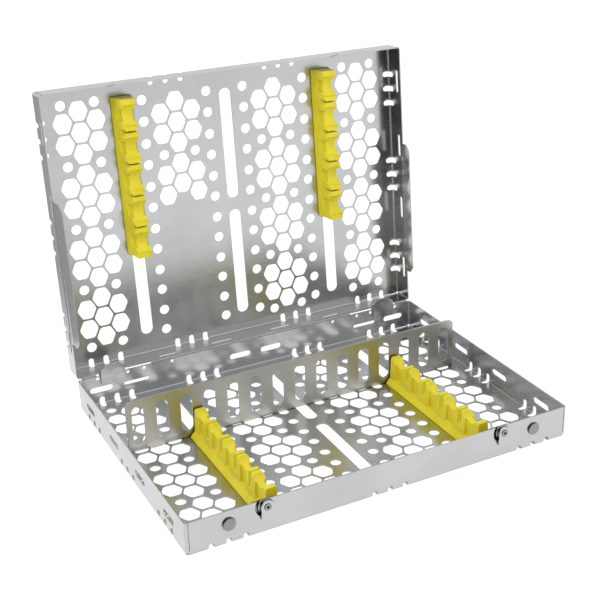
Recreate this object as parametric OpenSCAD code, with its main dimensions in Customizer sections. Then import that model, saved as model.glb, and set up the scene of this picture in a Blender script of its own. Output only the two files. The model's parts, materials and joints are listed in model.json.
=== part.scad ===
// Perforated instrument cassette for steam sterilisation: a folded steel base tray and a hinged
// steel lid, four silicone rails that hold the instruments, a removable divider and two turn levers.
// Millimetres. X runs left to right, Y from front to rear, Z up. The lid is drawn open.

/* [Trays] */
// Overall width of both trays along X
tray_w = 280; // [276:1:284]
// Overall depth of both trays along Y
tray_d = 206; // [204:0.5:209]
// Outside height of the base tray walls
base_h = 23; // [22.5:0.1:25]
// Outside height of the lid walls
lid_h = 18; // [17.6:0.1:20]
// Thickness of the steel sheet
sheet = 0.8; // [0.7:0.05:0.9]
// Outer radius of the folds
fold_r = 2; // [1.6:0.1:2.4]
// Gap between the two rims when the lid is shut
rim_gap = 0.15; // [0.1:0.05:0.4]
// How far the lid stands open
open_angle = 94.6; // [90:0.1:100]

/* [Perforation] */
// Distance from one hexagon to the next along a column
hex_pitch = 15.2; // [14.8:0.1:15.2]
// Distance between neighbouring columns of hexagons
col_pitch = 12; // [11.8:0.1:12.4]
// Width of the steel left between hexagons
web = 1.25; // [0.8:0.05:1.4]
// Corner radius of the hexagons
hex_corner = 2; // [1:0.1:2.5]
// Diameter of the small round holes
dot_d = 7.4; // [6.5:0.1:7.6]
// Distance of the outer hexagon groups from the middle
group_out_x = 109.8; // [109:0.1:111]
// Distance of the inner hexagon groups from the middle
group_in_x = 38.8; // [38.2:0.1:39.2]
// Width of the long slots that the rails sit over
long_slot_w = 9.2; // [8.6:0.1:9.6]
// Length of the long slots
long_slot_l = 83; // [80:1:84]

/* [Rails] */
// Distance of the rails and of the long slots below them from the middle
rail_x = 78.6; // [78:0.1:79.2]
// Length of one rail
rail_l = 115; // [113:1:116]
// Height of the rails in the base above its floor
base_rail_h = 21.6; // [18:0.1:21.8]
// Height of the rails in the lid
lid_rail_h = 16.6; // [12:0.1:16.8]
// Width of a rail at its foot
rail_foot_w = 15.8; // [15:0.1:17]
// Width of the combs of the base rails where they stand on the sloping foot
base_comb_w = 9.2; // [8.5:0.1:10]
// Width of the combs of the lid rails at the same place
lid_comb_w = 12; // [11:0.1:12.6]
// Radius of the seats for the instruments
seat_r = 7.8; // [7:0.1:8]
// Depth of the seats
seat_depth = 5.2; // [3.5:0.1:5.4]

/* [Divider] */
// Distance of the divider behind the middle
divider_y = 25; // [24.6:0.1:26]
// Length of the divider
divider_w = 261; // [255:1:264]
// Height of the divider's top edge above the table
divider_top = 39.6; // [36:0.1:39.8]
// Number of upright slots in the divider
divider_slots = 15; // [11:2:15]

/* [Latches] */
// Distance of the lever pivots from the middle
lever_x = 87; // [86.5:0.1:88]
// Height of the lever pivots
lever_z = 18.6; // [18.4:0.1:18.8]
// Distance from the lever's pivot to its locking pin
lever_reach = 6.6; // [6.4:0.1:6.8]
// Diameter of the locking pins
lock_pin_d = 1.8; // [1.6:0.1:1.9]
// Distance of the round front studs from the middle
stud_x = 112; // [110:0.5:114]

/* [Hinges] */
// Distance of each hinge from the middle
hinge_x = 114; // [113:0.5:115]
// Diameter of the hinge pins
pin_d = 1.6; // [1.5:0.05:1.6]
// Outside diameter of the rolled knuckles
knuckle_d = 3.2; // [3.2:0.05:3.3]

/* [Hidden] */
$fn = 48;

steel = [0.78, 0.79, 0.80];
steel_dark = [0.62, 0.63, 0.65];
silicone = [0.86, 0.80, 0.12];
run_gap = 0.04;                        // radial clearance of the turning pairs
hinge_y = tray_d / 2 + 0.6;            // hinge axis, level with the gap between the rims
hinge_z = base_h + rim_gap / 2;
shut_top = base_h + rim_gap + lid_h;   // top of the closed cassette
rail_y = divider_y - sheet / 2 - 1.6 - rail_l / 2;
seg_l = rail_l / 5;                    // five rail segments between four slits
foot_h = 4.6;                          // height of a rail's sloping foot
comb_lean = 0.7;                       // how far each flank of a comb leans in up to the crest
slit_w = 1.3;
pocket_w = 9;                          // pockets in the flanks of a rail, one under each seat
pocket_d = 1.5;
relief_w = 3.8;                        // shallow recess in the flanks along each slit
relief_d = 0.9;
knuckle_l = 4;                         // outer knuckle, on the base
lid_knuckle_l = 9.4;                   // middle knuckle, on the lid
hinge_half = 9;                        // half the width of one hinge
pin_head_d = 2.6;
bead_d = 1;                            // bead along the base's rear rim, round the hinge axis
bead_foot = 0.6;                       // height of the strip that joins it to the wall
bead_in_x = 84;                        // it stops short of the hinges on both sides
bead_out_x = 125;
bead_end_x = 137;
lever_y = -tray_d / 2 - 0.5;           // inner face of the levers
lever_t = 1.4;
lever_w = 8.6;
lever_rivet_d = 3;
lever_pin_in = 0.9;                    // how deep the locking pin sits in its lever
pin_path_w = lock_pin_d + 0.4;         // width of the curved slots that the locking pins travel in
backing_gap = 1.2;                     // between the front wall and the plate behind each lever
wing_y0 = -28;                         // the guide wings of the lid
wing_y1 = 77;
wing_gap = 0.15;                       // between a wing and the base's side wall
wing_drop = 12.4;                      // how far a wing reaches past the rim
wing_lean = 1.1;                       // and how far it leans in on the way
wing_cut = 5;                          // its corners are cut off at 45 degrees
group_out_y = -2;                      // how far the hexagon groups lie off the middle along Y
group_in_y = 0.4;
dot_cols = [-63.4, -14.4, 14.4, 63.4]; // columns of small holes, each hole one of a pair
dot_pair_pitch = 31.7;
dot_pair_half = 7.75;
long_slot_y = long_slot_l / 2 + 4.5;   // middle of the long slots, 9 mm apart end to end
fold_slot_w = 4;                       // the short slots across the folds, in groups of three
base_reach = [4, 6, 7, 7];             // how high they reach up the front, rear and side walls
lid_reach = [4, 4, 7, 7];
trio_pitch = 11.3;
fold_in_x = 44.5;                      // middles of the groups of three along the long folds
fold_out_x = 112.4;
fold_side_y = 69;                      // and along the side folds
rim_dot_x = [68, 90, 102.5, 125.5];    // small holes below the base's rear rim
rim_dot_drop = 2.2;
rim_dot_d = 2.6;
stud_z = 14;
rivet_clear_d = lever_rivet_d + 2 * run_gap;
tab_half = 9.2;                        // half the width of a guide tab, and the height of its top
tab_top = 31;
tab_cut = 4;                           // its corners are cut off at 45 degrees

// ---------- flat shapes ----------

// A slot with round ends, its length along X.
module slot2d(l, w) {
  square([l - w, w], center = true);
  for (s = [-1, 1]) translate([s * (l - w) / 2, 0]) circle(d = w);
}

// Corner points of one hexagonal opening; columns and rows touch along webs of equal width.
hex_rx = 2 / 3 * col_pitch - web / 2 * 1.17;
hex_ry = hex_pitch / 2 - web / 2;
hex_pts = [for (k = [0:5]) let (c = [[1, 0], [0.5, 1], [-0.5, 1], [-1, 0], [-0.5, -1], [0.5, -1]][k])
           [c[0] * hex_rx, c[1] * hex_ry]];

// The same hexagon with each corner cut back twice, so that it reads as rounded.
function unit(v) = v / norm(v);
function soft(p, r) = [for (i = [0:len(p) - 1])
  let (a = p[i], u = unit(p[(i + len(p) - 1) % len(p)] - a), v = unit(p[(i + 1) % len(p)] - a),
       m = unit(u + v), c = r * 0.62)
  each [a + u * c, a + m * c * 0.36, a + v * c]];

module hexagon() polygon(soft(hex_pts, hex_corner));

// One group of three columns. The outer columns trade every third hexagon for a small hole.
// Rows count from the rear: first is the first one, front_dots gives the front one its small holes.
module hex_group(first, front_dots) {
  for (k = [first:11]) translate([0, (5.5 - k) * hex_pitch]) hexagon();
  for (s = [-1, 1], k = [first:12])
    translate([s * col_pitch, (6 - k) * hex_pitch])
      if (k % 3 != 0) hexagon();
      else if (k != 12 || front_dots)
        translate([0, k == 0 ? -1 : k == 12 ? 2.6 : 0]) circle(d = dot_d, $fn = 24);
}

// Everything punched through a tray's flat: four hexagon groups, columns of small holes in pairs
// and three pairs of long slots. in_first is the first row of the left inner group.
module punch2d(in_first) {
  for (s = [-1, 1]) translate([s * group_out_x, group_out_y]) hex_group(0, true);
  translate([-group_in_x, group_in_y]) hex_group(in_first, false);
  translate([group_in_x, group_in_y]) hex_group(0, false);
  for (x = dot_cols, k = [-2.5:2.5], s = [-1, 1])
    translate([x, k * dot_pair_pitch + s * dot_pair_half]) circle(d = dot_d, $fn = 24);
  for (x = [-rail_x, 0, rail_x], s = [-1, 1])
    translate([x, s * long_slot_y]) rotate(90) slot2d(long_slot_l, long_slot_w);
}

// ---------- folded trays ----------

// Centres of the three short slots of one group, along its fold.
function trio(c) = [c - trio_pitch, c, c + trio_pitch];

// Where short slots cross the folds: [side, position]. Sides are 0 front, 1 rear, 2 left, 3 right.
function fold_list(front, rear) = concat(
  [for (c = front, x = trio(c)) [0, x]], [for (c = rear, x = trio(c)) [1, x]],
  [for (s = [2, 3], c = [-fold_side_y, 0, fold_side_y], y = trio(c)) [s, y]]);

// Brings a shape drawn at the front fold to one of the four sides.
module to_side(side, pos) {
  if (side == 0) translate([pos, -tray_d / 2, 0]) children();
  if (side == 1) translate([pos, tray_d / 2, 0]) rotate(180) children();
  if (side == 2) translate([-tray_w / 2, pos, 0]) rotate(-90) children();
  if (side == 3) translate([tray_w / 2, pos, 0]) rotate(90) children();
}

// A short slot that crosses the fold: seen from above it ends in the flat, from the side in the wall.
module fold_cut(in_flat, in_wall) {
  intersection() {
    translate([0, (in_flat - 3) / 2, -1]) linear_extrude(in_wall + 2)
      rotate(90) slot2d(in_flat + 3, fold_slot_w);
    translate([0, in_flat + 1, (in_wall - 3) / 2]) rotate([90, 0, 0]) linear_extrude(in_flat + 4)
      rotate(90) slot2d(in_wall + 3, fold_slot_w);
  }
}

// A straight fold of quarter-round section, length l along X, at the front bottom edge.
module fold(l) {
  translate([-l / 2, fold_r, fold_r]) rotate([90, 0, 90]) linear_extrude(l) quarter2d();
}

// A quarter of a ring as thick as the sheet, in the lower left.
module quarter2d() {
  intersection() {
    difference() { circle(r = fold_r); circle(r = fold_r - sheet); }
    translate([-fold_r, -fold_r]) square(fold_r);
  }
}

// Flat of a tray with its holes.
module flat(in_first, folds) {
  linear_extrude(sheet) difference() {
    square([tray_w - 2 * fold_r, tray_d - 2 * fold_r], center = true);
    punch2d(in_first);
    for (f = folds) to_side(f[0], f[1])
      translate([0, 2.2]) rotate(90) slot2d(8.4, fold_slot_w);
  }
}

// The rim of a tray: folds, walls and upright corners, open at the foot of each corner.
// reach says how high the short slots go up each wall. Children 0 to 2 are flat shapes cut out of
// the front, rear and both side walls.
module rim(h, folds, reach) {
  difference() {
    union() {
      for (side = [0:3]) to_side(side, 0) {
        l = (side < 2 ? tray_w : tray_d) - 2 * fold_r;
        fold(l);
        translate([0, sheet, 0]) rotate([90, 0, 0]) linear_extrude(sheet) difference() {
          translate([-l / 2, fold_r]) square([l, h - fold_r]);
          if (side == 0) children(0);
          if (side == 1) mirror([1, 0]) children(1);
          if (side > 1) mirror([side == 2 ? 1 : 0, 0]) children(2);
        }
      }
      for (a = [0, 1], b = [0, 1]) mirror([a, 0]) mirror([0, b])
        translate([fold_r - tray_w / 2, fold_r - tray_d / 2, fold_r]) linear_extrude(h - fold_r)
          quarter2d();
    }
    for (f = folds) to_side(f[0], f[1]) fold_cut(6.4, reach[f[0]]);
    // an open seam beside each upright corner
    for (a = [-1, 1], b = [-1, 1])
      translate([a * (tray_w / 2 - fold_r - 0.2) - 0.2, b * (tray_d / 2 - sheet / 2) - 1, 3.5])
        cube([0.4, 2, h]);
  }
}

// Slots of the side walls, four to a wall, seen from outside.
module side_slots2d(z, w) for (y = [-76, -25.3, 25.3, 76]) translate([y, z]) slot2d(17.3, w);

// A notch in a rim where the other tray's knuckles turn, x0 to x1 on both sides of the middle.
module rim_notch2d(x0, x1, z, h) for (s = [-1, 1]) translate([s * (x0 + x1) / 2, z + h / 2])
  square([x1 - x0, h], center = true);

// ---------- hinges ----------

// The knuckles of both hinges, from u0 to u0 + l beside each hinge's middle.
module knuckles(u0, l) for (s = [-1, 1])
  translate([s * hinge_x + u0, hinge_y, hinge_z]) rotate([0, 90, 0]) cylinder(d = knuckle_d, h = l);

// Room for the hinge pins and for the heads at their ends.
module knuckle_bores() for (s = [-1, 1])
  translate([s * hinge_x, hinge_y, hinge_z]) rotate([0, 90, 0]) {
    cylinder(d = pin_d + 2 * run_gap, h = 24, center = true);
    for (e = [-1, 1]) translate([0, 0, e * (hinge_half + 0.72)])
      cylinder(d = pin_head_d + 0.4, h = 1.4, center = true);
  }

// Carries the closed lid's parts to the open position.
module opened() translate([0, hinge_y, hinge_z]) rotate([-open_angle, 0, 0])
  translate([0, -hinge_y, -hinge_z]) children();

// ---------- base ----------

// The way of a locking pin about its pivot, from angle a0 to a1 (0 is to the right, 90 is up).
module pin_path2d(a0, a1) {
  intersection() {
    difference() { circle(r = lever_reach + pin_path_w / 2); circle(r = lever_reach - pin_path_w / 2); }
    polygon(concat([[0, 0]], [for (k = [0:8]) let (a = a0 + k * (a1 - a0) / 8)
                              2 * lever_reach * [cos(a), sin(a)]]));
  }
  for (a = [a0, a1]) rotate(a) translate([lever_reach, 0]) circle(d = pin_path_w);
}

// Cut-outs of the base's front wall. Both pin paths leave the rim on the left of their lever.
module base_front2d() {
  for (s = [-1, 1]) {
    translate([s * lever_x, lever_z]) circle(d = lever_rivet_d);
    translate([s * lever_x, lever_z]) pin_path2d(110, 270);
    translate([s * stud_x, stud_z]) circle(d = 4);
  }
}

module base_rear2d() {
  for (s = [-1, 1]) {
    translate([s * 123.4, 12]) slot2d(17.2, 4.5);
    translate([s * 13, 12]) slot2d(17.2, 4.5);
    translate([s * 96.5, 12]) slot2d(19.5, 2.6);
    for (x = rim_dot_x) translate([s * x, base_h - rim_dot_drop]) circle(d = rim_dot_d);
  }
  rim_notch2d(hinge_x - lid_knuckle_l / 2 - 0.3, hinge_x + lid_knuckle_l / 2 + 0.3, base_h - 1.8, 4);
}

// A bead on the base's rear rim from x0 to x1. It fills the line of light below the open lid.
module rim_bead(x0, x1) translate([x0, 0, 0]) rotate([90, 0, 90]) linear_extrude(x1 - x0) {
  translate([hinge_y, hinge_z]) circle(d = bead_d);
  translate([tray_d / 2 - sheet / 2, base_h - bead_foot])
    square([hinge_y - tray_d / 2 + sheet / 2, bead_foot]);
}

// Upright tabs inside the rear wall that line the lid up as it shuts.
module guide_tab() translate([0, tray_d / 2, 0]) difference() {
  translate([-tab_half, 0, 0]) rotate([90, 0, 90]) linear_extrude(2 * tab_half)
    polygon([[-sheet, 16.5], [-2 * sheet, 16.5], [-2 * sheet, 20], [-2.1 * sheet - 0.3, 22.6],
             [-2.1 * sheet - 0.3, tab_top], [-sheet - 0.35, tab_top], [-sheet - 0.35, 22.8], [-sheet, 22]]);
  for (s = [-1, 1]) translate([s * tab_half, 0, tab_top]) rotate([0, 45, 0])
    cube([tab_cut * sqrt(2), 8, tab_cut * sqrt(2)], center = true);
}

module base_tray() color(steel) {
  folds = fold_list([-fold_out_x, 0, fold_out_x], [-fold_out_x, -fold_in_x, fold_in_x, fold_out_x]);
  flat(0, folds);
  difference() {
    union() {
      rim(base_h, folds, base_reach) { base_front2d(); base_rear2d(); side_slots2d(12, 4.4); }
      knuckles(-hinge_half, knuckle_l);
      knuckles(hinge_half - knuckle_l, knuckle_l);
      rim_bead(-bead_in_x, bead_in_x);
      rim_bead(-bead_end_x, -bead_out_x);
      rim_bead(bead_out_x, bead_end_x);
    }
    knuckle_bores();
  }
  for (s = [-1, 1]) translate([s * hinge_x, 0, 0]) guide_tab();
}

// ---------- lid ----------

// The lid's part of the pin paths: a turned pin stands above the lip that is left at the rim.
module lid_front2d() for (s = [-1, 1])
  translate([s * lever_x, lever_z - base_h - rim_gap]) pin_path2d(90, 150);

module lid_rear2d() {
  for (s = [-1, 1]) {
    translate([s * 69, 5]) slot2d(14, 2.6);
    translate([s * 127, 5.5]) slot2d(11, 1);
    translate([s * 25, 6]) slot2d(17.2, 2.6);
  }
  rim_notch2d(hinge_x - hinge_half - 0.3, hinge_x - hinge_half + knuckle_l + 0.3, -1, 3);
  rim_notch2d(hinge_x + hinge_half - knuckle_l - 0.3, hinge_x + hinge_half + 0.3, -1, 3);
}

module lid_side2d() {
  side_slots2d(5.2, 3);
  translate([wing_y0, -1]) square([wing_y1 - wing_y0, 3]);
}

// A guide wing: it steps in from the lid's side wall and reaches down inside the base.
module wing() {
  x = tray_w / 2;
  face = x - sheet - wing_gap;         // outer face of the wing below the step
  rim_z = shut_top - lid_h;
  difference() {
    translate([0, wing_y1, rim_z]) rotate([90, 0, 0]) linear_extrude(wing_y1 - wing_y0)
      polygon([[x - sheet, 2], [x, 2], [x, 1.7], [face, 0.1], [face - wing_lean, -wing_drop],
               [face - wing_lean - sheet, -wing_drop], [face - sheet, 0.4]]);
    for (y = [wing_y0, wing_y1]) translate([x, y, rim_z - wing_drop]) rotate([45, 0, 0])
      cube([12, wing_cut * sqrt(2), wing_cut * sqrt(2)], center = true);
  }
}

module lid_shut() {
  folds = fold_list([-fold_in_x, fold_in_x], [-fold_out_x, -fold_in_x, fold_in_x, fold_out_x]);
  translate([0, 0, shut_top]) mirror([0, 0, 1]) flat(7, folds);
  difference() {
    union() {
      translate([0, 0, shut_top]) mirror([0, 0, 1])
        rim(lid_h, folds, lid_reach) { lid_wall(lid_h) lid_front2d(); lid_wall(lid_h) lid_rear2d();
                                       lid_wall(lid_h) lid_side2d(); }
      knuckles(-lid_knuckle_l / 2, lid_knuckle_l);
    }
    knuckle_bores();
  }
  wing();
  mirror([1, 0, 0]) wing();
}

// Turns a wall drawing from the rim down into one from the fold up.
module lid_wall(h) translate([0, h]) mirror([0, 1]) children();

module lid_tray() color(steel) opened() lid_shut();

// ---------- rails ----------

// Half of a rail's section: a thin edge, a sloping foot, a comb that narrows a little, a round crest.
// c is half the comb's width at the crest.
function half_section(h, c) = [[rail_foot_w / 2, 0], [rail_foot_w / 2, 1], [c + comb_lean, foot_h],
  [c, h - 1.2], [c - 0.4, h - 0.4], [c - 1.2, h]];

// Cuts boxes of width w into both flanks of a rail at each place along it, up to x from its middle.
module flank_cuts(places, w, x, z) {
  for (y = places, s = [-1, 1]) translate([s * (x + 5) - 5, y - w / 2, z])
    cube([10, w, base_rail_h]);
}

// A silicone rail on z = 0 in five segments. Each has a round seat, with a pocket in both flanks below.
module rail(h, comb_w) {
  crest = comb_w / 2 - comb_lean;
  half = half_section(h, crest);
  slit_z = foot_h + (h - foot_h) * 0.4;
  difference() {
    translate([0, rail_l / 2, 0]) rotate([90, 0, 0]) linear_extrude(rail_l)
      polygon(concat(half, [for (k = [len(half) - 1:-1:0]) [-half[k][0], half[k][1]]]));
    translate([-rail_foot_w, 0, 0]) rotate([90, 0, 90]) linear_extrude(2 * rail_foot_w) {
      for (k = [-2:2]) translate([k * seg_l, h + seat_r - seat_depth]) circle(r = seat_r);
      for (k = [-1.5:1.5]) translate([k * seg_l - slit_w / 2, slit_z]) square([slit_w, h]);
    }
    flank_cuts([for (k = [-2:2]) k * seg_l], pocket_w, crest - pocket_d, foot_h + 0.8);
    flank_cuts([for (k = [-1.5:1.5]) k * seg_l], relief_w, crest - relief_d, slit_z - 1.5);
  }
}

// The keel of a rail: it fills the long slots of the sheet.
module keel() {
  for (s = [-1, 1]) translate([0, s * long_slot_y - rail_y, 0])
    linear_extrude(sheet) intersection() {
      rotate(90) slot2d(long_slot_l - 0.3, long_slot_w - 0.3);
      translate([-20, -rail_l / 2 + rail_y - s * long_slot_y + 0.5]) square([40, rail_l - 1]);
    }
}

module base_rail(side) color(silicone) translate([side * rail_x, rail_y, 0]) {
  keel();
  translate([0, 0, sheet]) rail(base_rail_h, base_comb_w);
}

module lid_rail(side) color(silicone) opened()
  translate([side * rail_x, rail_y, shut_top]) mirror([0, 0, 1]) {
    keel();
    translate([0, 0, sheet]) rail(lid_rail_h, lid_comb_w);
  }

// ---------- divider ----------

module divider() color(steel) {
  z0 = sheet + 0.02;
  h = divider_top - z0;
  translate([0, divider_y + sheet / 2, z0]) rotate([90, 0, 0]) linear_extrude(sheet) difference() {
    union() {
      translate([-divider_w / 2, 0]) square([divider_w, h - 4]);
      translate([0, h - 4]) slot2d(divider_w, 8);
    }
    for (k = [0:divider_slots - 1]) translate([(k - (divider_slots - 1) / 2) * 17.45, 19.5])
      rotate(90) slot2d(28.5, 8.6);
  }
  // folded hem along the top, behind the sheet
  translate([5 - divider_w / 2, divider_y + sheet / 2, divider_top - 3]) cube([divider_w - 10, sheet, 3]);
  // two feet that stand on the floor and two tongues that drop into hexagons
  for (s = [-1, 1]) {
    translate([s * 125 - 5, divider_y, z0]) cube([10, 8, sheet]);
    translate([s * group_out_x - 4, divider_y - sheet / 2, 0.05]) cube([8, sheet, z0]);
  }
}

// ---------- hinge pins ----------

module hinge_pin(side) color(steel_dark)
  translate([side * hinge_x - hinge_half - 0.8, hinge_y, hinge_z]) rotate([0, 90, 0]) {
    cylinder(d = pin_d, h = 2 * hinge_half + 1.6);
    cylinder(d = pin_head_d, h = 0.7);
    translate([0, 0, 2 * hinge_half + 0.9]) cylinder(d = pin_head_d, h = 0.7);
  }

// ---------- latches ----------

// The lever hangs from its pivot; turned half round over the left it locks the lid.
module latch_lever(side) color(steel) translate([side * lever_x, lever_y, lever_z])
  rotate([90, 0, 0]) difference() {
    linear_extrude(lever_t) difference() {
      union() {
        circle(d = lever_w);
        intersection() {
          circle(r = lever_reach + 2.6);
          translate([-lever_w / 2, -20]) square([lever_w, 20]);
        }
      }
      circle(d = rivet_clear_d);
    }
    translate([0, -lever_reach, -1]) cylinder(d = lock_pin_d, h = lever_pin_in + 1.05);
  }

// The locking pin: from a blind hole in the lever through the pin path, a little past the wall.
module lever_pin(side) color(steel_dark)
  translate([side * lever_x, lever_y - lever_pin_in, lever_z - lever_reach]) rotate([-90, 0, 0])
    cylinder(d = lock_pin_d, h = lever_pin_in + sheet + 0.7);

// A hollow rivet: head, shank through lever, washer, wall and backing plate, rolled end inside.
module lever_rivet(side) color(steel_dark) translate([side * lever_x, 0, lever_z]) rotate([90, 0, 0]) {
  inner = tray_d / 2 - 2 * sheet - backing_gap;
  outer = tray_d / 2 + 0.6 + lever_t;
  difference() {
    union() {
      translate([0, 0, inner]) cylinder(d = lever_rivet_d, h = outer - inner);
      translate([0, 0, outer]) cylinder(d = 4.8, h = 0.4);
      translate([0, 0, inner - 0.5]) cylinder(d = 4.6, h = 0.5);
    }
    translate([0, 0, inner - 1]) cylinder(d = 1.7, h = outer - inner + 3);
  }
}

module lever_washer(side) color(steel_dark)
  translate([side * lever_x, -tray_d / 2 - 0.02, lever_z]) rotate([90, 0, 0]) difference() {
    cylinder(d = 7, h = 0.44);
    translate([0, 0, -1]) cylinder(d = lever_rivet_d + 0.2, h = 3);
  }

// A plate behind the front wall that closes the pin path; a raised collar spaces it.
module latch_backing(side) color(steel_dark)
  translate([side * lever_x, sheet - tray_d / 2, lever_z]) rotate([-90, 0, 0]) difference() {
    union() {
      translate([-9, -3.8, backing_gap]) cube([14, 12.6, sheet]);
      cylinder(d = 6, h = backing_gap);
    }
    translate([0, 0, -1]) cylinder(d = lever_rivet_d, h = 4);
  }

module front_stud(side) color(steel_dark) translate([side * stud_x, 0, stud_z]) rotate([90, 0, 0]) {
  translate([0, 0, tray_d / 2 - sheet]) cylinder(d = 4, h = sheet);
  translate([0, 0, tray_d / 2]) cylinder(d = 8.2, h = 1.4);
  translate([0, 0, tray_d / 2 - sheet - 0.6]) cylinder(d = 6, h = 0.6);
}

base_tray();
lid_tray();
divider();
base_rail(-1);  // base_rail_left
base_rail(1);  // base_rail_right
lid_rail(-1);  // lid_rail_left
lid_rail(1);  // lid_rail_right
hinge_pin(-1);  // hinge_pin_left
hinge_pin(1);  // hinge_pin_right
latch_lever(-1);  // latch_lever_left
latch_lever(1);  // latch_lever_right
lever_pin(-1);  // lever_pin_left
lever_pin(1);  // lever_pin_right
lever_rivet(-1);  // lever_rivet_left
lever_rivet(1);  // lever_rivet_right
lever_washer(-1);  // lever_washer_left
lever_washer(1);  // lever_washer_right
latch_backing(-1);  // latch_backing_left
latch_backing(1);  // latch_backing_right
front_stud(-1);  // front_stud_left
front_stud(1);  // front_stud_right
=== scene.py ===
"""The looks of the perforated instrument cassette: satin steel, silicone, softened edges, light, camera.

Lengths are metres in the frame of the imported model: X along the hinge, Y from the latches to the
hinge, Z up from the surface that the cassette stands on. Colours are linear red, green and blue.
"""

import json
import math

import bmesh
import bpy
from mathutils import Matrix, Vector


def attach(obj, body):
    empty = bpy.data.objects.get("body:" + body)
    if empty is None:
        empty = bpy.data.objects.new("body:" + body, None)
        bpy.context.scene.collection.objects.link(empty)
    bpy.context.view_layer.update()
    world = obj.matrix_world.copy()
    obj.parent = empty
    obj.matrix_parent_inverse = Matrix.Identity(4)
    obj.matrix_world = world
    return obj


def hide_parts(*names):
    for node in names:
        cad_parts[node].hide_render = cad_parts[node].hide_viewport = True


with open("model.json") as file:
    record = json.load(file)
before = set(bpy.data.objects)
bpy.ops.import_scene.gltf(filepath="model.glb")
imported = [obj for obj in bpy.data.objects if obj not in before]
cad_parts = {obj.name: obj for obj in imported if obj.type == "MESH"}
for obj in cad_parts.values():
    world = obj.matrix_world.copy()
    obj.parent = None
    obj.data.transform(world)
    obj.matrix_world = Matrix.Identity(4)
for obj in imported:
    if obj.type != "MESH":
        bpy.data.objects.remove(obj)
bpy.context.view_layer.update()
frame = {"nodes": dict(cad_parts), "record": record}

MM = 0.001

# Edges
SHEET_EDGE = 0.10 * MM            # rounding of the edges of the trays, the divider and the levers
SMALL_EDGE = 0.15 * MM            # rounding of the pins, rivets, studs, washers and backing plates
SILICONE_EDGE = 0.3 * MM          # rounding of the moulded rails
STEEL_STEPS = 2                   # facets across a rounded edge
SILICONE_STEPS = 3
SHARP = math.radians(38)          # edges that turn by more than this are rounded
EDGE_RAYS = 4                     # samples of an edge that is rounded in the shading
MERGE = 0.004 * MM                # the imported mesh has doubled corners, which lie closer than this
FLAT_ANGLE = math.radians(0.6)    # faces that turn by less than this are joined
FLAT_WEIGHT = 100                 # how strongly large faces rule the shading at the trays' corners

# Painted shade: darkening painted into the steel's colour in corners, and at the seams under other pieces
PAINTED_SHADE_REACH = 2.0 * MM                 # how far it reaches
PAINTED_SHADE_RAYS = 6
PAINTED_SHADE_FULL = 0.42                # ambient occlusion where it is full
PAINTED_SHADE_END = 0.78                 # and where it ends
PAINTED_SHADE_SHARE = 0.12               # what it leaves of the steel's darker tone


# ---------- materials ----------

# The mix node has one set of sockets for each kind of value: these are the ones for colours.
MIX_FACTOR, MIX_A, MIX_B, MIX_RESULT = 0, 6, 7, 2


class Graph:
    """A node material in the making."""

    def __init__(self, name):
        self.material = bpy.data.materials.new(name)
        self.material.use_nodes = True
        self.tree = self.material.node_tree
        self.tree.nodes.clear()

    def add(self, kind, inputs=None, **settings):
        """A node with the given settings; inputs maps its sockets to values or to other nodes' sockets."""
        made = self.tree.nodes.new(kind)
        for key, value in settings.items():
            setattr(made, key, value)
        for key, value in (inputs or {}).items():
            if isinstance(value, bpy.types.NodeSocket):
                self.tree.links.new(value, made.inputs[key])
            else:
                made.inputs[key].default_value = value
        return made

    def noise(self, scale, detail=3.0, stretch=(1, 1, 1), roughness=0.5):
        """Noise in object space, scale in features per metre, finer along an axis with a larger stretch."""
        where = self.add("ShaderNodeTexCoord").outputs["Object"]
        mapped = self.add("ShaderNodeMapping", {"Vector": where, "Scale": stretch}).outputs["Vector"]
        made = self.add("ShaderNodeTexNoise",
                        {"Vector": mapped, "Scale": scale, "Detail": detail, "Roughness": roughness})
        return made.outputs["Fac"]

    def spread(self, value, low, high, start=0.3, end=0.7):
        """Maps start..end of a value to low..high."""
        made = self.add("ShaderNodeMapRange", {"Value": value, "From Min": start, "From Max": end,
                                               "To Min": low, "To Max": high})
        return made.outputs["Result"]

    def mix(self, factor, a, b):
        """Goes from colour a to colour b as the factor goes from 0 to 1."""
        made = self.add("ShaderNodeMix", {MIX_FACTOR: factor, MIX_A: a, MIX_B: b}, data_type="RGBA")
        return made.outputs[MIX_RESULT]

    def total(self, a, b):
        """The sum of two values."""
        return self.add("ShaderNodeMath", {0: a, 1: b}, operation="ADD").outputs[0]

    def unshaded(self, reach):
        """1 where nothing stands within reach of the surface, less in corners and under other pieces: the
        mask of the painted shade.
        """
        near = self.add("ShaderNodeAmbientOcclusion", {"Distance": reach}, samples=PAINTED_SHADE_RAYS)
        return self.spread(near.outputs["AO"], 0.0, 1.0, start=PAINTED_SHADE_FULL, end=PAINTED_SHADE_END)

    def rounded(self, width):
        """The surface's direction, with its edges rounded over this width."""
        return self.add("ShaderNodeBevel", {"Radius": width}, samples=EDGE_RAYS).outputs["Normal"]

    def bump(self, height, distance, strength, normal=None):
        """The surface's direction over these bumps, laid on another direction if one is given."""
        inputs = {"Height": height, "Distance": distance, "Strength": strength}
        if normal is not None:
            inputs["Normal"] = normal
        return self.add("ShaderNodeBump", inputs).outputs["Normal"]

    def finish(self, inputs):
        """The material, with one shader that has these inputs."""
        shader = self.add("ShaderNodeBsdfPrincipled", inputs).outputs["BSDF"]
        self.add("ShaderNodeOutputMaterial", {"Surface": shader})
        return self.material


def rgb(r, g, b):
    """An opaque colour."""
    return (r, g, b, 1.0)


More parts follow.
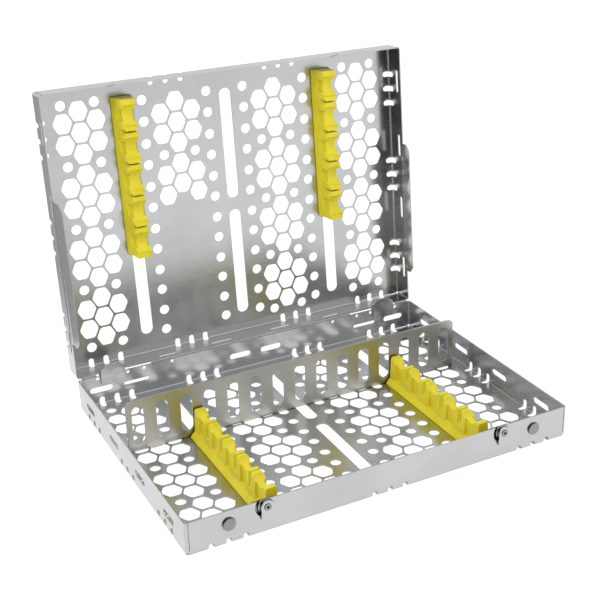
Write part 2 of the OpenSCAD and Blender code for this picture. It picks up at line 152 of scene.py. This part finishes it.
CLOUDS = 16                       # cloudy patches of the rolled sheet, per metre
CLOUD_DEPTH = 0.4 * MM
CLOUD_BUMP = 0.12
BRUSHING = (70, 2600, 2600)       # brush marks per metre along X, Y and Z
BRUSH_ROUGHNESS = 0.6             # how ragged the marks are
BRUSH_DEPTH = 0.02 * MM
BRUSH_GLINT = (0.86, 0.86, 0.87)  # the tone of the brightest marks
BRUSH_SHARE = 0.10                # and how much of it they take on
SMEARS = 110                      # wiping marks per metre
SMEAR_STRETCH = (0.5, 1, 1)       # they are twice as long along X


def steel(name, light, dark, roughness, grain):
    """Satin stainless steel: brushed along X, a little cloudy, with painted shade darkening its corners."""
    g = Graph(name)
    cloud = g.noise(CLOUDS)
    brushed = g.noise(1, stretch=BRUSHING, roughness=BRUSH_ROUGHNESS)
    smear = g.noise(SMEARS, stretch=SMEAR_STRETCH)
    colour = g.mix(g.spread(cloud, 0, 1), rgb(*dark), rgb(*light))
    colour = g.mix(g.spread(brushed, 0.0, BRUSH_SHARE), colour, rgb(*BRUSH_GLINT))
    # Painted shade: the colour goes to a dark tone in corners and under other pieces, where shade falls.
    painted_corner_shade = rgb(*(PAINTED_SHADE_SHARE * value for value in dark))
    colour = g.mix(g.unshaded(PAINTED_SHADE_REACH), painted_corner_shade, colour)
    uneven = g.total(g.spread(smear, -0.025, 0.03), g.spread(brushed, -0.03, 0.05))
    normal = g.bump(brushed, BRUSH_DEPTH, grain, g.rounded(SHEET_EDGE))
    normal = g.bump(cloud, CLOUD_DEPTH, CLOUD_BUMP, normal)
    return g.finish({"Base Color": colour, "Metallic": 1.0, "Roughness": g.total(uneven, roughness),
                     "Normal": normal})


YELLOW_DEEP = (0.72, 0.60, 0.018)
YELLOW_PALE = (0.80, 0.70, 0.03)
YELLOW_CLOUDS = 60                # patches of the two yellows, per metre
DUST = 2600                       # grains of the moulded texture, per metre
DUST_DEPTH = 0.03 * MM
DUST_BUMP = 0.35
LIGHT_DEPTH = (2 * MM, 1.6 * MM, 0.4 * MM)    # how far red, green and blue light get into the silicone


def silicone(name):
    """Moulded yellow silicone: matt with a soft sheen, slightly translucent, dust-fine texture."""
    g = Graph(name)
    cloud = g.noise(YELLOW_CLOUDS)
    dust = g.noise(DUST, detail=2)
    return g.finish({
        "Base Color": g.mix(g.spread(cloud, 0, 1), rgb(*YELLOW_DEEP), rgb(*YELLOW_PALE)),
        "Roughness": g.spread(dust, 0.40, 0.54),
        "Normal": g.bump(dust, DUST_DEPTH, DUST_BUMP),
        "Specular IOR Level": 0.45,
        "Subsurface Weight": 0.12, "Subsurface Radius": LIGHT_DEPTH, "Subsurface Scale": 1.0})


FINISHES = {
    "sheet_steel": steel("satin_sheet_steel", light=(0.555, 0.56, 0.57), dark=(0.49, 0.495, 0.50),
                         roughness=0.21, grain=0.4),
    "pin_steel": steel("turned_pin_steel", light=(0.30, 0.30, 0.31), dark=(0.24, 0.24, 0.25),
                       roughness=0.30, grain=0.4),
    "silicone": silicone("moulded_silicone"),
}
# The divider is duller than the trays, and a little warmer.
OWN_FINISHES = {
    "divider": steel("dull_divider_steel", light=(0.50, 0.49, 0.445), dark=(0.44, 0.43, 0.39),
                     roughness=0.34, grain=0.6),
}
EDGES = {"sheet_steel": SHEET_EDGE, "pin_steel": SMALL_EDGE, "silicone": SILICONE_EDGE}


# ---------- pieces ----------

# The punched trays have far too many edges to cut: their finish rounds them in the shading instead.
TRAYS = ("base_tray", "lid_tray")


def cleaned(source, name):
    """The node's mesh with doubled corners merged and flat areas joined into whole faces."""
    mesh = source.data.copy()
    mesh.name = name
    for layer in ("custom_normal", "sharp_edge"):
        if layer in mesh.attributes:
            mesh.attributes.remove(mesh.attributes[layer])
    work = bmesh.new()
    work.from_mesh(mesh)
    bmesh.ops.remove_doubles(work, verts=work.verts, dist=MERGE)
    bmesh.ops.dissolve_limit(work, angle_limit=FLAT_ANGLE, verts=work.verts, edges=work.edges)
    for face in work.faces:
        face.smooth = True
    work.to_mesh(mesh)
    work.free()
    return mesh


def keep_flats_even(tray):
    """Shades a punched sheet so that its flat faces stay flat right up to their holes."""
    tray.data.set_sharp_from_angle(angle=SHARP)
    flats = tray.modifiers.new("even_flats", "WEIGHTED_NORMAL")
    flats.weight = FLAT_WEIGHT
    flats.keep_sharp = True


def round_edges(piece, slot):
    """Cuts a rounding into a piece's sharp edges."""
    edge = piece.modifiers.new("rounded_edges", "BEVEL")
    edge.width = EDGES[slot]
    edge.segments = SILICONE_STEPS if slot == "silicone" else STEEL_STEPS
    edge.limit_method = "ANGLE"
    edge.angle_limit = SHARP
    edge.use_clamp_overlap = False
    edge.harden_normals = True


def stand_in(node, body, slot):
    """Puts a piece of the same shape, with softened edges, in the place of a CAD node."""
    name = node + "_finished"
    mesh = cleaned(frame["nodes"][node], name)
    mesh.materials.clear()
    mesh.materials.append(OWN_FINISHES.get(node, FINISHES[slot]))
    piece = bpy.data.objects.new(name, mesh)
    bpy.context.scene.collection.objects.link(piece)
    if node in TRAYS:
        keep_flats_even(piece)
    else:
        round_edges(piece, slot)
    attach(piece, body)
    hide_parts(node)


body_of = {n: body for body, members in frame["record"]["behaviour"]["bodies"].items() for n in members}
for part in frame["record"]["subparts"]:
    stand_in(part["node"], body_of[part["node"]], part["material_slot"])


# ---------- floor and backdrop ----------

def plain(name, colour, glow=0.0):
    """A plain surface that may glow a little, for the stage."""
    return Graph(name).finish({
        "Base Color": rgb(*colour), "Roughness": 1.0, "Specular IOR Level": 0.0,
        "Emission Color": rgb(1, 1, 1), "Emission Strength": glow})


def sheet_of(name, corners, material):
    """A flat four-cornered stage piece."""
    mesh = bpy.data.meshes.new(name)
    mesh.from_pydata(corners, [], [(0, 1, 2, 3)])
    mesh.materials.append(material)
    made = bpy.data.objects.new(name, mesh)
    bpy.context.scene.collection.objects.link(made)
    return made


def level(x0, x1, y0, y1, z):
    """The corners of a level rectangle."""
    return [(x0, y0, z), (x1, y0, z), (x1, y1, z), (x0, y1, z)]


def upright(x0, y0, x1, y1, height):
    """The corners of a sheet that stands on a line on the floor."""
    return [(x0, y0, 0), (x1, y1, 0), (x1, y1, height), (x0, y0, height)]


def only_in_reflections(piece):
    """Hides a stage piece from the camera and from soft light; the steel still mirrors it."""
    piece.visible_camera = False
    piece.visible_diffuse = False
    piece.visible_transmission = False
    piece.visible_shadow = False


FLOOR_GAP = 0.05 * MM             # the floor lies just under the cassette
FLOOR_HALF = 6.0
FLOOR_GLOW = 0.95
sheet_of("floor", level(-FLOOR_HALF, FLOOR_HALF, -FLOOR_HALF, FLOOR_HALF, -FLOOR_GAP),
         plain("pale_floor", (0.16, 0.16, 0.16), FLOOR_GLOW))

# The dark side of the studio, in front on the left, which the walls on the right mirror.
CLOTH_Z = 1 * MM
PANEL_HEIGHT = 1.1
dark = plain("dark_cloth", (0.02, 0.02, 0.02))
only_in_reflections(sheet_of("dark_ground", level(-0.95, -0.03, -1.15, -0.24, CLOTH_Z), dark))
only_in_reflections(sheet_of("dark_panel", upright(-1.25, -0.55, -0.02, -1.2, PANEL_HEIGHT), dark))

# And the duller ground behind on the left, which the lid's left wall mirrors.
DULL_GLOW = 0.42
dull = plain("dull_ground", (0.02, 0.02, 0.025), DULL_GLOW)
only_in_reflections(sheet_of("dull_ground", level(-1.4, -0.175, 0.2, 1.6, CLOTH_Z), dull))

# The shade below the right-hand side of the base, which the wall there mirrors. It lies inside
# the base's outline, between the floor and the cassette.
SHADE_Z = -0.6 * FLOOR_GAP
SHADE_GLOW = 0.45
shade = plain("shaded_ground", (0.05, 0.05, 0.05), SHADE_GLOW)
only_in_reflections(sheet_of("shade_below", level(0.098, 0.139, -0.101, 0.101, SHADE_Z), shade))

# A white backdrop; the light that it throws on the object is softer than it looks.
BACKDROP = 1.0
SKY = 0.86
world = bpy.data.worlds.new("soft_studio")
world.use_nodes = True
sky = world.node_tree.nodes["Background"]
sky.inputs["Color"].default_value = rgb(1.0, 1.0, 1.0)
rays = world.node_tree.nodes.new("ShaderNodeLightPath")
strength = world.node_tree.nodes.new("ShaderNodeMapRange")
strength.inputs["To Min"].default_value = SKY
strength.inputs["To Max"].default_value = BACKDROP
world.node_tree.links.new(rays.outputs["Is Camera Ray"], strength.inputs["Value"])
world.node_tree.links.new(strength.outputs["Result"], sky.inputs["Strength"])
bpy.context.scene.world = world


# ---------- light ----------

def soft_light(name, place, target, size, power):
    """A square lamp, its size in metres across and its power in watts, that shines at a target."""
    lamp = bpy.data.lights.new(name, "AREA")
    lamp.shape = "SQUARE"
    lamp.size = size
    lamp.energy = power
    made = bpy.data.objects.new(name, lamp)
    made.location = place
    made.rotation_euler = (Vector(target) - Vector(place)).to_track_quat("-Z", "Y").to_euler()
    bpy.context.scene.collection.objects.link(made)


soft_light("key_light", place=(-0.9, -0.5, 1.5), target=(0.0, 0.0, 0.05), size=0.8, power=9.0)


# ---------- camera ----------

AZIMUTH = math.radians(-28.57)    # the camera stands in front, on the left
ELEVATION = math.radians(23.55)
ROLL = math.radians(-0.76)
DISTANCE = 0.853
AIM_RIGHT = 0.0234                # where the lens axis passes the origin, across and up
AIM_UP = 0.0952
FOCAL = 2.0017                    # focal length in frame widths
SHIFT = (-0.0828, -0.0203)        # of the picture, across and up, in frame widths
SENSOR = 36                       # the frame's width in millimetres of the lens
NEAR, FAR = 0.05, 50

back = Vector((math.sin(AZIMUTH) * math.cos(ELEVATION), -math.cos(AZIMUTH) * math.cos(ELEVATION),
               math.sin(ELEVATION)))
level_right = Vector((math.cos(AZIMUTH), math.sin(AZIMUTH), 0))
level_up = back.cross(level_right)
right = level_right * math.cos(ROLL) + level_up * math.sin(ROLL)
up = back.cross(right)

lens = bpy.data.cameras.new("camera")
lens.sensor_width = SENSOR
lens.lens = SENSOR * FOCAL
lens.shift_x, lens.shift_y = SHIFT
lens.clip_start = NEAR
lens.clip_end = FAR
camera = bpy.data.objects.new("camera", lens)
turn = Matrix((right, up, back)).transposed().to_4x4()
camera.matrix_world = Matrix.Translation(back * DISTANCE + right * AIM_RIGHT + up * AIM_UP) @ turn
bpy.context.scene.collection.objects.link(camera)
bpy.context.scene.camera = camera

bpy.context.scene.view_settings.view_transform = "Standard"

bpy.context.view_layer.update()
